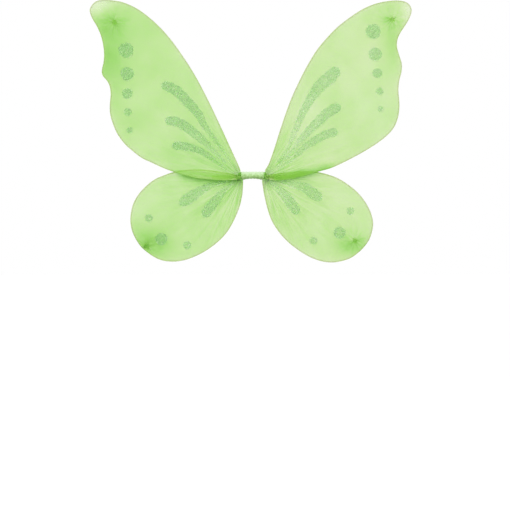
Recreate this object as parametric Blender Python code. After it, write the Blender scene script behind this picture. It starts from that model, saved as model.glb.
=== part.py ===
"""Child's fairy wings: four wire loops in sheer nylon sleeves, joined at a taped centre bar.

Metres, +Z up, +X to the right seen from the display side, which faces -Y. The wearer is
on the +Y side. The origin is the middle of the bar's flat back face.
"""

import math

import bmesh
import bpy
import numpy as np
from mathutils import Matrix, Vector

MM = 0.001

# Centre bar: four twisted stems in an oval wrap with a flat back.
WRAP_HALF_LENGTH = 12.2 * MM
WRAP_HALF_HEIGHT = 6.2 * MM
WRAP_HALF_DEPTH = 5.4 * MM
WRAP_WALL = 1.2 * MM
BAR_Y = -4.8 * MM  # the bar's middle line, in front of its flat back face
TAPE_STEP = 0.35 * MM  # an extra turn of tape round the middle stands this proud
TAPE_STEP_HALF_LENGTH = 3.2 * MM  # and holds the flat back face, clear of both bar tacks
STEM_RADIUS = 1.3 * MM
STEM_OFFSET = 1.7 * MM
STEM_HALF_LENGTH = 11.9 * MM

# Root bindings: the taped bend at each end of the bar.
ROOT_X = 17.5 * MM
ROOT_HALF_WIDTH = 5.0 * MM
ROOT_HALF_HEIGHT = 6.2 * MM

# Wings.
WIRE_RADIUS = 0.9 * MM
UPPER_Y = -7.4 * MM
LOWER_Y = -2.4 * MM
SWEEP = 0.128  # per metre: the wings dish towards the display side by SWEEP * r * r
SLEEVE_THICKNESS = 0.8 * MM
SLEEVE_INSET = 1.9 * MM  # wire radius, clearance and the chord error of the outline
SLEEVE_ROOT_RADIUS = 9.6 * MM
TIE_RING_RADIUS = 2.3 * MM
TIE_THREAD_RADIUS = 0.75 * MM
TIE_GAP = 0.35 * MM

# Elastic arm loops and the bar tacks that close them.
BAND_THICKNESS = 1.2 * MM
BAND_HALF_WIDTH = 2.6 * MM
TACK_RADIUS = 2.6 * MM
TACK_HALF_LENGTH = 3.6 * MM
TACK_X = 7.2 * MM
TACK_Y = 3.3 * MM

# Wing outlines: the wire's bends in mm, from the root along the inner edge, round the tip
# and back along the outer edge. The two sides are bent by hand, so they differ.
UPPER_LEFT = [
    (-18.4, 7.6), (-22.5, 17.5), (-33.2, 40.6), (-50.8, 78.9), (-68.3, 115.0), (-85.8, 147.5),
    (-103.4, 174.7), (-121.1, 198.7), (-138.5, 217.5), (-156.2, 232.7), (-170.4, 242.0),
    (-187.8, 249.4), (-203.7, 252.3), (-217.6, 252.9), (-227.6, 249.6), (-234.3, 239.7),
    (-231.7, 229.1), (-224.6, 216.9), (-218.5, 203.0), (-215.0, 188.5), (-213.7, 174.7),
    (-215.0, 160.9), (-217.2, 151.8), (-216.2, 145.4), (-210.5, 138.6), (-206.2, 130.5),
    (-204.4, 118.0), (-205.6, 103.0), (-205.3, 89.9), (-201.8, 76.8), (-195.0, 60.9),
    (-184.3, 46.4), (-173.7, 36.8), (-159.6, 26.1), (-147.2, 20.3), (-129.8, 12.2),
    (-112.4, 5.8), (-96.0, 0.9), (-80.5, -2.6), (-59.4, -4.9), (-38.4, -6.1), (-24.2, -4.8),
]  # fmt: skip
UPPER_RIGHT = [
    (19.0, 7.6), (23.4, 14.6), (31.5, 36.2), (40.3, 63.8), (49.2, 90.3), (57.9, 113.5),
    (66.7, 132.5), (75.4, 150.1), (84.2, 165.9), (95.0, 182.7), (108.9, 199.2), (122.5, 213.2),
    (137.0, 224.8), (150.9, 234.5), (164.6, 242.2), (179.1, 247.7), (193.1, 250.7),
    (207.2, 252.0), (219.7, 250.3), (226.5, 245.8), (229.2, 238.8), (227.4, 230.8),
    (221.1, 218.9), (213.4, 207.3), (208.9, 197.2), (208.1, 185.6), (211.6, 173.0),
    (215.2, 160.9), (214.7, 150.1), (211.6, 137.8), (210.2, 123.2), (211.6, 107.9),
    (211.6, 95.7), (208.9, 81.2), (203.7, 69.6), (195.0, 59.4), (180.5, 47.9), (164.6, 37.7),
    (147.2, 28.0), (129.8, 19.1), (113.5, 12.0), (96.4, 7.0), (74.1, 0.2), (50.8, -4.7),
    (34.5, -5.8), (24.2, -4.6),
]  # fmt: skip
LOWER_LEFT = [
    (-14.6, -8.4), (-15.7, -26.1), (-18.8, -41.5), (-22.8, -53.1), (-28.0, -64.7),
    (-37.0, -80.3), (-48.6, -93.2), (-63.1, -104.8), (-77.1, -113.1), (-92.7, -119.8),
    (-105.7, -123.0), (-118.6, -123.7), (-131.5, -121.8), (-142.0, -117.2), (-152.2, -110.3),
    (-161.2, -102.2), (-168.9, -90.6), (-174.3, -77.7), (-176.2, -64.7), (-175.0, -51.8),
    (-171.8, -40.2), (-165.2, -28.4), (-154.9, -16.8), (-142.0, -6.5), (-128.9, -0.6),
    (-116.0, 3.9), (-96.0, 7.6), (-72.0, 8.0), (-48.0, 5.0), (-26.2, 1.2),
]  # fmt: skip
LOWER_RIGHT = [
    (14.8, -8.4), (17.1, -23.0), (22.3, -46.4), (28.7, -64.7), (39.1, -81.2), (50.8, -94.2),
    (63.7, -104.8), (76.7, -113.4), (89.6, -119.8), (102.5, -123.7), (115.3, -125.0),
    (128.3, -123.2), (141.4, -118.9), (152.0, -111.6), (161.6, -102.2), (168.6, -91.9),
    (172.6, -80.3), (174.0, -68.6), (171.3, -55.7), (166.0, -44.1), (158.2, -32.3),
    (149.2, -22.6), (138.8, -14.2), (125.9, -5.8), (112.0, -0.1), (95.0, 4.1), (74.0, 5.6),
    (48.0, 3.7), (26.2, 1.2),
]  # fmt: skip

# (name, outline, front-to-back place, sleeve gather point in mm, centre that sees the outline)
WINGS = [
    ("upper_left", UPPER_LEFT, UPPER_Y, (-200.0, 222.0), (-150.0, 105.0)),
    ("upper_right", UPPER_RIGHT, UPPER_Y, (202.0, 225.5), (150.0, 105.0)),
    ("lower_left", LOWER_LEFT, LOWER_Y, (-153.6, -101.4), (-98.0, -55.0)),
    ("lower_right", LOWER_RIGHT, LOWER_Y, (146.6, -93.0), (98.0, -55.0)),
]
STRAP_PATH = [  # mm, seen from above, left loop
    (-8.7, 6.6), (-9.6, 16.0), (-19.0, 31.0), (-36.0, 47.0), (-52.0, 66.0), (-59.5, 86.0),
    (-52.0, 103.0), (-36.0, 109.0), (-19.5, 101.0), (-9.6, 82.0), (-6.2, 56.0), (-5.4, 30.0),
    (-5.7, 6.6),
]  # fmt: skip

WIRE_POINTS = 78
SLEEVE_COLUMNS = 52


def clear_scene():
    for obj in list(bpy.data.objects):
        bpy.data.objects.remove(obj, do_unlink=True)


def material(name, colour, roughness, metallic=0.0, alpha=1.0):
    mat = bpy.data.materials.new(name)
    mat.use_nodes = True
    shader = mat.node_tree.nodes["Principled BSDF"]
    shader.inputs["Base Color"].default_value = (*colour, 1.0)
    shader.inputs["Roughness"].default_value = roughness
    shader.inputs["Metallic"].default_value = metallic
    shader.inputs["Alpha"].default_value = alpha
    mat.diffuse_color = (*colour, alpha)
    return mat


def add(name, mesh, mat):
    mesh.materials.append(mat)
    obj = bpy.data.objects.new(name, mesh)
    bpy.context.collection.objects.link(obj)
    return obj


def smooth_path(points, count):
    """An open centripetal Catmull-Rom curve through points, resampled evenly along its length."""
    p = np.array(points, float)
    p = np.vstack([2 * p[0] - p[1], p, 2 * p[-1] - p[-2]])
    fine = []
    for i in range(1, len(p) - 2):
        a, b, c, d = p[i - 1 : i + 3]
        ta = 0.0
        tb = ta + np.linalg.norm(b - a) ** 0.5
        tc = tb + np.linalg.norm(c - b) ** 0.5
        td = tc + np.linalg.norm(d - c) ** 0.5
        for t in np.linspace(tb, tc, 24, endpoint=False):
            ab = (tb - t) / (tb - ta) * a + (t - ta) / (tb - ta) * b
            bc = (tc - t) / (tc - tb) * b + (t - tb) / (tc - tb) * c
            cd = (td - t) / (td - tc) * c + (t - tc) / (td - tc) * d
            abc = (tc - t) / (tc - ta) * ab + (t - ta) / (tc - ta) * bc
            bcd = (td - t) / (td - tb) * bc + (t - tb) / (td - tb) * cd
            fine.append((tc - t) / (tc - tb) * abc + (t - tb) / (tc - tb) * bcd)
    fine.append(p[-2])
    fine = np.array(fine)
    run = np.concatenate([[0], np.cumsum(np.linalg.norm(np.diff(fine, axis=0), axis=1))])
    at = np.linspace(0, run[-1], count)
    return np.stack([np.interp(at, run, fine[:, k]) for k in range(fine.shape[1])], axis=1)


def dish(x, z, plane, side):
    """The y of the wing surface at (x, z), dished about its own root."""
    r2 = (x - side * ROOT_X) ** 2 + z**2
    return plane - SWEEP * r2


def lifted(flat, plane, side):
    return [Vector((x, dish(x, z, plane, side), z)) for x, z in flat]


def wire(name, outline, plane, side, mat):
    """A round wire along the outline, with closed ends."""
    flat = smooth_path(outline, WIRE_POINTS) * MM
    curve = bpy.data.curves.new(name, "CURVE")
    curve.dimensions = "3D"
    curve.bevel_depth = WIRE_RADIUS
    curve.bevel_resolution = 1
    curve.use_fill_caps = True
    curve.render_resolution_u = 0
    spline = curve.splines.new("POLY")
    spline.points.add(len(flat) - 1)
    for point, place in zip(spline.points, lifted(flat, plane, side)):
        point.co = (*place, 1.0)
    return add(name, curve, mat)


def inset_outline(outline, side):
    """The wing outline without its root, moved in by SLEEVE_INSET, closed by an arc about the root."""
    path = smooth_path(outline, 420) * MM
    area = 0.0
    for a, b in zip(path, np.roll(path, -1, axis=0)):
        area += a[0] * b[1] - b[0] * a[1]
    turn = 1.0 if area > 0 else -1.0
    along = np.gradient(path, axis=0)
    along /= np.linalg.norm(along, axis=1)[:, None]
    inward = np.stack([-along[:, 1], along[:, 0]], axis=1) * turn
    moved = path + inward * SLEEVE_INSET
    # where the outline bends tightly the moved curve crosses itself: keep what stays clear
    keep = [
        p for p in moved if np.linalg.norm(path - p, axis=1).min() > SLEEVE_INSET * 0.985
    ]
    root = np.array([side * ROOT_X, 0.0])
    keep = np.array([p for p in keep if np.linalg.norm(p - root) > SLEEVE_ROOT_RADIUS])
    run = np.concatenate([[0], np.cumsum(np.linalg.norm(np.diff(keep, axis=0), axis=1))])
    at = np.linspace(0, run[-1], SLEEVE_COLUMNS)
    edge = np.stack([np.interp(at, run, keep[:, k]) for k in range(2)], axis=1)
    first, last = edge[0] - root, edge[-1] - root
    a0, a1 = math.atan2(last[1], last[0]), math.atan2(first[1], first[0])
    swing = (a1 - a0 + math.pi) % (2 * math.pi) - math.pi
    arc = [
        root + SLEEVE_ROOT_RADIUS * np.array([math.cos(a0 + swing * f), math.sin(a0 + swing * f)])
        for f in (0.2, 0.4, 0.6, 0.8)
    ]
    return np.vstack([edge, arc])


def sleeve(name, outline, plane, side, centre, mat):
    """A thin plate inside the wire, dished with it: rings from the edge to a middle point."""
    edge = inset_outline(outline, side)
    middle = np.array(centre) * MM
    bm = bmesh.new()
    rings = []
    for share in (1.0, 0.62, 0.27):
        flat = middle + (edge - middle) * share
        rings.append([bm.verts.new(v) for v in lifted(flat, plane, side)])
    hub = bm.verts.new(lifted([middle], plane, side)[0])
    n = len(edge)
    for outer, inner in zip(rings, rings[1:]):
        for i in range(n):
            j = (i + 1) % n
            bm.faces.new((outer[i], outer[j], inner[j], inner[i]))
    for i in range(n):
        bm.faces.new((rings[-1][i], rings[-1][(i + 1) % n], hub))
    bmesh.ops.recalc_face_normals(bm, faces=bm.faces[:])
    mesh = bpy.data.meshes.new(name)
    bm.to_mesh(mesh)
    bm.free()
    obj = add(name, mesh, mat)
    solid = obj.modifiers.new("Thickness", "SOLIDIFY")
    solid.thickness = SLEEVE_THICKNESS
    solid.offset = 0.0
    return obj


def ring(name, centre, major, minor, mat):
    """A thread ring whose axis runs front to back."""
    bm = bmesh.new()
    start = []
    for i in range(6):
        a = 2 * math.pi * i / 6
        start.append(bm.verts.new((major + minor * math.cos(a), minor * math.sin(a), 0.0)))
    edges = [bm.edges.new((start[i], start[(i + 1) % 6])) for i in range(6)]
    bmesh.ops.spin(
        bm, geom=start + edges, cent=(0, 0, 0), axis=(0, 1, 0), angle=2 * math.pi,
        steps=14, use_duplicate=False, use_merge=True,
    )  # fmt: skip
    bmesh.ops.remove_doubles(bm, verts=bm.verts[:], dist=1e-6)
    bmesh.ops.recalc_face_normals(bm, faces=bm.faces[:])
    mesh = bpy.data.meshes.new(name)
    bm.to_mesh(mesh)
    bm.free()
    mesh.shade_smooth()
    obj = add(name, mesh, mat)
    obj.location = centre
    return obj


def oval(half_y, half_z, count, flat_at=None):
    """An oval section about the bar's middle line, cut off flat at y = flat_at."""
    points = []
    for i in range(count):
        a = 2 * math.pi * (i + 0.5) / count
        y, z = BAR_Y + half_y * math.cos(a), half_z * math.sin(a)
        points.append((min(y, flat_at) if flat_at is not None else y, z))
    return points


def wrap(mat):
    """The taped tube round the stems, open at both ends, with a flat back proud in the middle."""
    inner = oval(WRAP_HALF_DEPTH - 1.2 * WRAP_WALL, WRAP_HALF_HEIGHT - WRAP_WALL, 28)
    thin = oval(WRAP_HALF_DEPTH - TAPE_STEP, WRAP_HALF_HEIGHT - TAPE_STEP, 28, flat_at=-TAPE_STEP)
    thick = oval(WRAP_HALF_DEPTH, WRAP_HALF_HEIGHT, 28, flat_at=0.0)
    end, step = WRAP_HALF_LENGTH, TAPE_STEP_HALF_LENGTH
    loops = [
        (-end, inner), (-end, thin), (-step - 0.25 * MM, thin), (-step, thick),
        (step, thick), (step + 0.25 * MM, thin), (end, thin), (end, inner),
    ]  # fmt: skip
    bm = bmesh.new()
    rows = [[bm.verts.new((x, y, z)) for y, z in section] for x, section in loops]
    n = len(inner)
    for a, b in zip(rows, rows[1:] + rows[:1]):
        for i in range(n):
            bm.faces.new((a[i], a[(i + 1) % n], b[(i + 1) % n], b[i]))
    bmesh.ops.recalc_face_normals(bm, faces=bm.faces[:])
    mesh = bpy.data.meshes.new("centre_wrap")
    bm.to_mesh(mesh)
    bm.free()
    return add("centre_wrap", mesh, mat)


def rod(name, centre, radius, half_length, sides, mat):
    """A round rod along X."""
    bm = bmesh.new()
    bmesh.ops.create_cone(
        bm, cap_ends=True, segments=sides, radius1=radius, radius2=radius, depth=2 * half_length,
        matrix=Matrix.Rotation(math.pi / 2, 4, "Y"),
    )  # fmt: skip
    mesh = bpy.data.meshes.new(name)
    bm.to_mesh(mesh)
    bm.free()
    mesh.shade_smooth()
    mesh.set_sharp_from_angle(angle=math.radians(40))
    obj = add(name, mesh, mat)
    obj.location = centre
    return obj


def root_binding(name, side, mat):
    """The taped bend: a barrel turned about the vertical fold axis."""
    bm = bmesh.new()
    steps = 9
    profile = []
    for i in range(steps):
        a = math.pi * (i / (steps - 1) - 0.5)
        z = ROOT_HALF_HEIGHT * math.sin(a)
        r = ROOT_HALF_WIDTH * max(math.cos(a), 0.0) ** 0.8
        profile.append(bm.verts.new((r if 0 < i < steps - 1 else 0.0, 0.0, z)))
    edges = [bm.edges.new(pair) for pair in zip(profile, profile[1:])]
    bmesh.ops.spin(
        bm, geom=profile + edges, cent=(0, 0, 0), axis=(0, 0, 1), angle=2 * math.pi,
        steps=18, use_duplicate=False, use_merge=True,
    )  # fmt: skip
    bmesh.ops.remove_doubles(bm, verts=bm.verts[:], dist=1e-6)
    bmesh.ops.recalc_face_normals(bm, faces=bm.faces[:])
    mesh = bpy.data.meshes.new(name)
    bm.to_mesh(mesh)
    bm.free()
    mesh.shade_smooth()
    obj = add(name, mesh, mat)
    obj.location = (side * ROOT_X, BAR_Y, 0.0)
    return obj


def strap(name, side, mat):
    """A flat elastic band on edge, led out from its bar tack and back to it."""
    path = smooth_path([(-side * x, y) for x, y in STRAP_PATH], 44) * MM
    along = np.gradient(path, axis=0)
    along[0], along[-1] = (0.0, 1.0), (0.0, -1.0)
    along /= np.linalg.norm(along, axis=1)[:, None]
    across = np.stack([-along[:, 1], along[:, 0]], axis=1) * BAND_THICKNESS / 2
    bm = bmesh.new()
    sections = []
    for p, n in zip(path, across):
        sections.append([
            bm.verts.new((*(p + n), -BAND_HALF_WIDTH)), bm.verts.new((*(p - n), -BAND_HALF_WIDTH)),
            bm.verts.new((*(p - n), BAND_HALF_WIDTH)), bm.verts.new((*(p + n), BAND_HALF_WIDTH)),
        ])  # fmt: skip
    for a, b in zip(sections, sections[1:]):
        for i in range(4):
            bm.faces.new((a[i], a[(i + 1) % 4], b[(i + 1) % 4], b[i]))
    bm.faces.new(sections[0][::-1])
    bm.faces.new(sections[-1])
    bmesh.ops.recalc_face_normals(bm, faces=bm.faces[:])
    mesh = bpy.data.meshes.new(name)
    bm.to_mesh(mesh)
    bm.free()
    return add(name, mesh, mat)


def main():
    clear_scene()
    steel = material("wire_steel", (0.62, 0.55, 0.50), 0.35, 1.0)
    nylon = material("green_nylon", (0.52, 0.83, 0.30), 0.6, 0.0, 0.6)
    tape = material("green_tape", (0.60, 0.80, 0.42), 0.75)
    thread = material("green_thread", (0.16, 0.50, 0.10), 0.8)
    elastic = material("green_elastic", (0.55, 0.82, 0.36), 0.85)

    for name, outline, plane, gather, centre in WINGS:
        side = -1 if name.endswith("left") else 1
        wire(f"{name}_wire", outline, plane, side, steel)
        sleeve(f"{name}_sleeve", outline, plane, side, centre, nylon)
        x, z = gather[0] * MM, gather[1] * MM
        back = dish(x, z, plane, side) + SLEEVE_THICKNESS / 2 + TIE_GAP + TIE_THREAD_RADIUS
        ring(f"{name}_tip_tie", (x, back, z), TIE_RING_RADIUS, TIE_THREAD_RADIUS, thread)

    wrap(tape)
    for name, y, z in (
        ("upper_left_stem", -1, 1), ("upper_right_stem", -1, -1),
        ("lower_left_stem", 1, 1), ("lower_right_stem", 1, -1),
    ):  # fmt: skip
        centre = (0.0, BAR_Y + y * STEM_OFFSET, z * STEM_OFFSET)
        rod(name, centre, STEM_RADIUS, STEM_HALF_LENGTH, 12, steel)
    for word, side in (("left", -1), ("right", 1)):
        root_binding(f"{word}_root_binding", side, tape)
        rod(f"{word}_strap_tack", (side * TACK_X, TACK_Y, 0.0), TACK_RADIUS, TACK_HALF_LENGTH, 16, thread)
        strap(f"{word}_strap", side, elastic)


main()
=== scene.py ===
"""Looks for the child's fairy wings: sheer pleated nylon sleeves over wire loops, glitter
glue, taped centre bar, thread ties and elastic arm loops. Metres, +Z up, display side -Y."""

import math

import bmesh
import bpy
import numpy as np
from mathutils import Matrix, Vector


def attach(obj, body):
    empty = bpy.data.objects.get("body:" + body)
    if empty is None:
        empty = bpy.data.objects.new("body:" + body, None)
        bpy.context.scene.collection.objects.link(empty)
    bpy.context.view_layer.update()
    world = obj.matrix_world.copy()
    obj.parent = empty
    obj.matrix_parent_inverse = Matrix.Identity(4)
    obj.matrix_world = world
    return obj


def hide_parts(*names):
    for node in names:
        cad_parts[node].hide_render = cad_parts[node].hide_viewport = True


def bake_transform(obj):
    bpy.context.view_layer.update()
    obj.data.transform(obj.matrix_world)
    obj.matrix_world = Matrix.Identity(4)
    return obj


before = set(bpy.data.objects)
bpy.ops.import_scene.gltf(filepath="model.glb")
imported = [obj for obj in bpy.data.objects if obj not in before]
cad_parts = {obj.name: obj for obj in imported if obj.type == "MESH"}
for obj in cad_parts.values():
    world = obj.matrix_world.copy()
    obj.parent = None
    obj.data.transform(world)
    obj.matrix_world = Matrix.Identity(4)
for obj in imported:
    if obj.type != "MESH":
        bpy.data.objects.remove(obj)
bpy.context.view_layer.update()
MM = 0.001

# ---------------------------------------------------------------- sizes that match the CAD
ROOT_X, BAR_Y = 17.5, -4.8
SWEEP = 0.000128  # per mm
WIRE_R = 0.9
SKIN = 1.08  # the fabric's radius round the wire
PLANE = {"upper": -7.4, "lower": -2.4}

OUTLINE = {
    "upper_left": [
        (-18.4, 7.6), (-22.5, 17.5), (-33.2, 40.6), (-50.8, 78.9), (-68.3, 115.0), (-85.8, 147.5),
        (-103.4, 174.7), (-121.1, 198.7), (-138.5, 217.5), (-156.2, 232.7), (-170.4, 242.0),
        (-187.8, 249.4), (-203.7, 252.3), (-217.6, 252.9), (-227.6, 249.6), (-234.3, 239.7),
        (-231.7, 229.1), (-224.6, 216.9), (-218.5, 203.0), (-215.0, 188.5), (-213.7, 174.7),
        (-215.0, 160.9), (-217.2, 151.8), (-216.2, 145.4), (-210.5, 138.6), (-206.2, 130.5),
        (-204.4, 118.0), (-205.6, 103.0), (-205.3, 89.9), (-201.8, 76.8), (-195.0, 60.9),
        (-184.3, 46.4), (-173.7, 36.8), (-159.6, 26.1), (-147.2, 20.3), (-129.8, 12.2),
        (-112.4, 5.8), (-96.0, 0.9), (-80.5, -2.6), (-59.4, -4.9), (-38.4, -6.1), (-24.2, -4.8),
    ],
    "upper_right": [
        (19.0, 7.6), (23.4, 14.6), (31.5, 36.2), (40.3, 63.8), (49.2, 90.3), (57.9, 113.5),
        (66.7, 132.5), (75.4, 150.1), (84.2, 165.9), (95.0, 182.7), (108.9, 199.2),
        (122.5, 213.2), (137.0, 224.8), (150.9, 234.5), (164.6, 242.2), (179.1, 247.7),
        (193.1, 250.7), (207.2, 252.0), (219.7, 250.3), (226.5, 245.8), (229.2, 238.8),
        (227.4, 230.8), (221.1, 218.9), (213.4, 207.3), (208.9, 197.2), (208.1, 185.6),
        (211.6, 173.0), (215.2, 160.9), (214.7, 150.1), (211.6, 137.8), (210.2, 123.2),
        (211.6, 107.9), (211.6, 95.7), (208.9, 81.2), (203.7, 69.6), (195.0, 59.4),
        (180.5, 47.9), (164.6, 37.7), (147.2, 28.0), (129.8, 19.1), (113.5, 12.0), (96.4, 7.0),
        (74.1, 0.2), (50.8, -4.7), (34.5, -5.8), (24.2, -4.6),
    ],
    "lower_left": [
        (-14.6, -8.4), (-15.7, -26.1), (-18.8, -41.5), (-22.8, -53.1), (-28.0, -64.7),
        (-37.0, -80.3), (-48.6, -93.2), (-63.1, -104.8), (-77.1, -113.1), (-92.7, -119.8),
        (-105.7, -123.0), (-118.6, -123.7), (-131.5, -121.8), (-142.0, -117.2),
        (-152.2, -110.3), (-161.2, -102.2), (-168.9, -90.6), (-174.3, -77.7), (-176.2, -64.7),
        (-175.0, -51.8), (-171.8, -40.2), (-165.2, -28.4), (-154.9, -16.8), (-142.0, -6.5),
        (-128.9, -0.6), (-116.0, 3.9), (-96.0, 7.6), (-72.0, 8.0), (-48.0, 5.0), (-26.2, 1.2),
    ],
    "lower_right": [
        (14.8, -8.4), (17.1, -23.0), (22.3, -46.4), (28.7, -64.7), (39.1, -81.2),
        (50.8, -94.2), (63.7, -104.8), (76.7, -113.4), (89.6, -119.8), (102.5, -123.7),
        (115.3, -125.0), (128.3, -123.2), (141.4, -118.9), (152.0, -111.6), (161.6, -102.2),
        (168.6, -91.9), (172.6, -80.3), (174.0, -68.6), (171.3, -55.7), (166.0, -44.1),
        (158.2, -32.3), (149.2, -22.6), (138.8, -14.2), (125.9, -5.8), (112.0, -0.1),
        (95.0, 4.1), (74.0, 5.6), (48.0, 3.7), (26.2, 1.2),
    ],
}  # fmt: skip
KNOT = {
    "upper_left": (-200.0, 222.0), "upper_right": (202.0, 225.5),
    "lower_left": (-154.6, -102.6), "lower_right": (148.4, -94.2),
}  # fmt: skip
GATHER = {"left": (-16.2, -3.2), "right": (17.0, -3.4)}  # where the pleats run together
STRAP_PATH = [
    (-8.7, 6.6), (-9.6, 16.0), (-19.0, 31.0), (-36.0, 47.0), (-52.0, 66.0), (-59.5, 86.0),
    (-52.0, 103.0), (-36.0, 109.0), (-19.5, 101.0), (-9.6, 82.0), (-6.2, 56.0), (-5.4, 30.0),
    (-5.7, 6.6),
]  # fmt: skip

# Glitter dots (x, z, radius) and strokes [(x, z, half width), ...] from the blunt end inwards.
DOTS = {
    "upper_left": [(-183.0, 181.3, 11.4), (-181.4, 147.3, 10.0), (-181.4, 118.8, 7.9), (-180.7, 92.1, 5.9), (-177.8, 65.7, 4.9)],
    "upper_right": [(174.7, 208.4, 11.4), (177.9, 175.6, 10.1), (180.8, 148.3, 7.5), (184.4, 122.0, 5.8), (185.3, 96.7, 4.4)],
    "lower_left": [(-150.4, -61.5, 5.9), (-132.2, -91.9, 9.2), (-94.7, -100.9, 6.2)],
    "lower_right": [(142.0, -51.2, 5.8), (126.4, -82.8, 9.1), (88.6, -94.5, 5.8)],
}  # fmt: skip
STROKES = {
    "upper_left": [
        [(-131.5, 132.5, 7.2), (-111.0, 123.3, 8.0), (-93.5, 105.9, 7.7), (-79.0, 89.9, 6.5), (-68.9, 71.1, 4.6), (-54.4, 52.2, 3.4), (-34.0, 22.0, 1.6)],
        [(-126.3, 80.6, 7.0), (-106.6, 76.9, 7.3), (-89.2, 65.3, 7.2), (-75.3, 53.7, 6.4), (-59.5, 39.2, 4.2), (-38.0, 18.0, 1.6)],
        [(-116.7, 43.5, 6.2), (-101.6, 42.9, 6.4), (-82.4, 38.6, 5.4), (-63.1, 28.0, 4.0), (-38.0, 9.0, 1.5)],
    ],
    "upper_right": [
        [(124.7, 155.2, 7.6), (110.6, 141.2, 10.0), (98.3, 130.5, 9.4), (84.2, 111.7, 7.2), (71.8, 88.5, 5.6), (61.6, 63.8, 4.6), (50.9, 39.2, 3.2), (36.0, 18.0, 1.5)],
        [(127.3, 100.9, 7.8), (110.6, 92.1, 8.0), (95.0, 78.3, 7.2), (80.5, 63.8, 6.4), (66.7, 47.9, 4.8), (52.9, 29.0, 3.2), (36.0, 13.0, 1.4)],
        [(123.7, 63.8, 7.0), (108.9, 60.5, 6.6), (91.2, 51.6, 6.4), (75.4, 41.2, 5.0), (59.6, 25.4, 3.2), (38.0, 9.0, 1.4)],
    ],
    "lower_left": [
        [(-105.7, -41.5, 6.6), (-94.0, -33.6, 8.6), (-82.4, -26.1, 7.8), (-66.9, -16.8, 5.6), (-52.0, -11.6, 3.4), (-36.0, -7.5, 1.6)],
        [(-71.3, -59.5, 6.6), (-63.1, -47.9, 7.9), (-52.5, -34.8, 7.0), (-42.2, -21.8, 4.6), (-28.0, -9.0, 1.8)],
    ],
    "lower_right": [
        [(99.9, -34.4, 6.8), (87.0, -24.7, 8.6), (74.1, -16.8, 7.4), (58.7, -13.1, 4.8), (42.0, -8.5, 2.0)],
        [(66.3, -55.1, 6.4), (55.8, -40.2, 8.4), (45.7, -27.3, 7.0), (35.2, -16.8, 4.4), (26.0, -8.5, 1.8)],
    ],
}  # fmt: skip


# ---------------------------------------------------------------- helpers
def smooth_path(points, count):
    """An open centripetal Catmull-Rom curve through points, resampled evenly along its length."""
    p = np.array(points, float)
    p = np.vstack([2 * p[0] - p[1], p, 2 * p[-1] - p[-2]])
    fine = []
    for i in range(1, len(p) - 2):
        a, b, c, d = p[i - 1 : i + 3]
        ta = 0.0
        tb = ta + np.linalg.norm(b - a) ** 0.5
        tc = tb + np.linalg.norm(c - b) ** 0.5
        td = tc + np.linalg.norm(d - c) ** 0.5
        t = np.linspace(tb, tc, 40, endpoint=False)[:, None]
        ab = (tb - t) / (tb - ta) * a + (t - ta) / (tb - ta) * b
        bc = (tc - t) / (tc - tb) * b + (t - tb) / (tc - tb) * c
        cd = (td - t) / (td - tc) * c + (t - tc) / (td - tc) * d
        abc = (tc - t) / (tc - ta) * ab + (t - ta) / (tc - ta) * bc
        bcd = (td - t) / (td - tb) * bc + (t - tb) / (td - tb) * cd
        fine.append((tc - t) / (tc - tb) * abc + (t - tb) / (tc - tb) * bcd)
    fine.append(p[-2][None])
    fine = np.concatenate(fine)
    run = np.concatenate([[0], np.cumsum(np.linalg.norm(np.diff(fine, axis=0), axis=1))])
    at = np.linspace(0, run[-1], count)
    return np.stack([np.interp(at, run, fine[:, k]) for k in range(fine.shape[1])], axis=1)


def step(low, high, x):
    t = np.clip((np.asarray(x, float) - low) / (high - low), 0, 1)
    return t * t * (3 - 2 * t)


def waves(x, seed, low, high, count=7):
    """A smooth, repeatable wandering value about 0, as a sum of sines of random phase."""
    rng = np.random.default_rng(seed)
    out = np.zeros_like(np.asarray(x, float))
    for _ in range(count):
        out += rng.uniform(0.5, 1.0) * np.sin(rng.uniform(low, high) * x + rng.uniform(0, 6.28))
    return out / math.sqrt(count)


def blotches(x, z, seed, size, count=10):
    """The same in two directions, with features about size across."""
    rng = np.random.default_rng(seed)
    out = np.zeros_like(np.asarray(x, float))
    for _ in range(count):
        a, f = rng.uniform(0, 6.28), 2 * math.pi / (size * rng.uniform(0.7, 1.8))
        out += np.sin(f * (x * math.cos(a) + z * math.sin(a)) + rng.uniform(0, 6.28))
    return out / math.sqrt(count)


def new_object(name, verts, faces, mat, smooth=True):
    """A mesh object from points in mm."""
    mesh = bpy.data.meshes.new(name)
    mesh.from_pydata((np.asarray(verts, float) * MM).tolist(), [], faces)
    mesh.materials.append(mat)
    obj = bpy.data.objects.new(name, mesh)
    bpy.context.scene.collection.objects.link(obj)
    bm = bmesh.new()
    bm.from_mesh(mesh)
    bmesh.ops.recalc_face_normals(bm, faces=bm.faces[:])
    bm.to_mesh(mesh)
    bm.free()
    if smooth:
        mesh.shade_smooth()
    return obj


def point_value(obj, name, values):
    attribute = obj.data.attributes.new(name, "FLOAT", "POINT")
    attribute.data.foreach_set("value", np.asarray(values, np.float32))


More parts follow.
